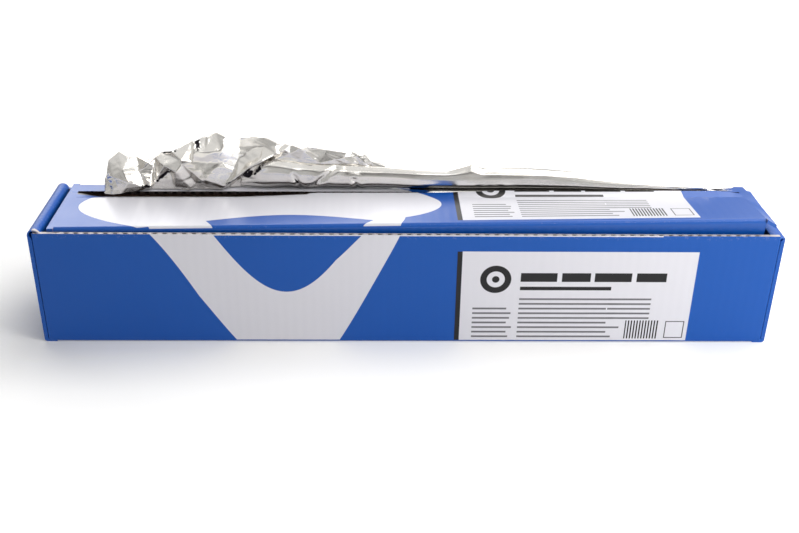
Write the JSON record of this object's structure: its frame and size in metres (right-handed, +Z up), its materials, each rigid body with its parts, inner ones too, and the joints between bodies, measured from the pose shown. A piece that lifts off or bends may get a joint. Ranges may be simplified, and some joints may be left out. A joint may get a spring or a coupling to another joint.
{
  "type": "aluminium foil roll in dispenser carton",
  "caption": "Wide roll of catering foil in a long corrugated dispenser carton; the crumpled foil end stands up out of a slot in the askew, hinged lid.",
  "frame": {"origin": "middle of the carton's footprint, on the surface it stands on", "axes": "+X along the roll, to the right seen from the front; -Y out of the front panel; +Z up"},
  "size_m": [0.475, 0.072, 0.1211],
  "materials": {
    "printed_board": "satin",
    "lid_board": "satin",
    "core_board": "matte",
    "wound_foil": "polished",
    "pulled_foil": "polished"
  },
  "bodies": {
    "carton": {"carton": "printed_board", "core": "core_board", "foil_roll": "wound_foil"},
    "lid": {"lid": "lid_board", "foil_sheet": "pulled_foil"}
  },
  "joints": [
    {"name": "lid_hinge", "type": "hinge", "parent": "carton", "child": "lid", "pos_m": [0, 0.036, 0.0783], "axis": [-1, 0, 0], "range_deg": [0, 110]}
  ]
}
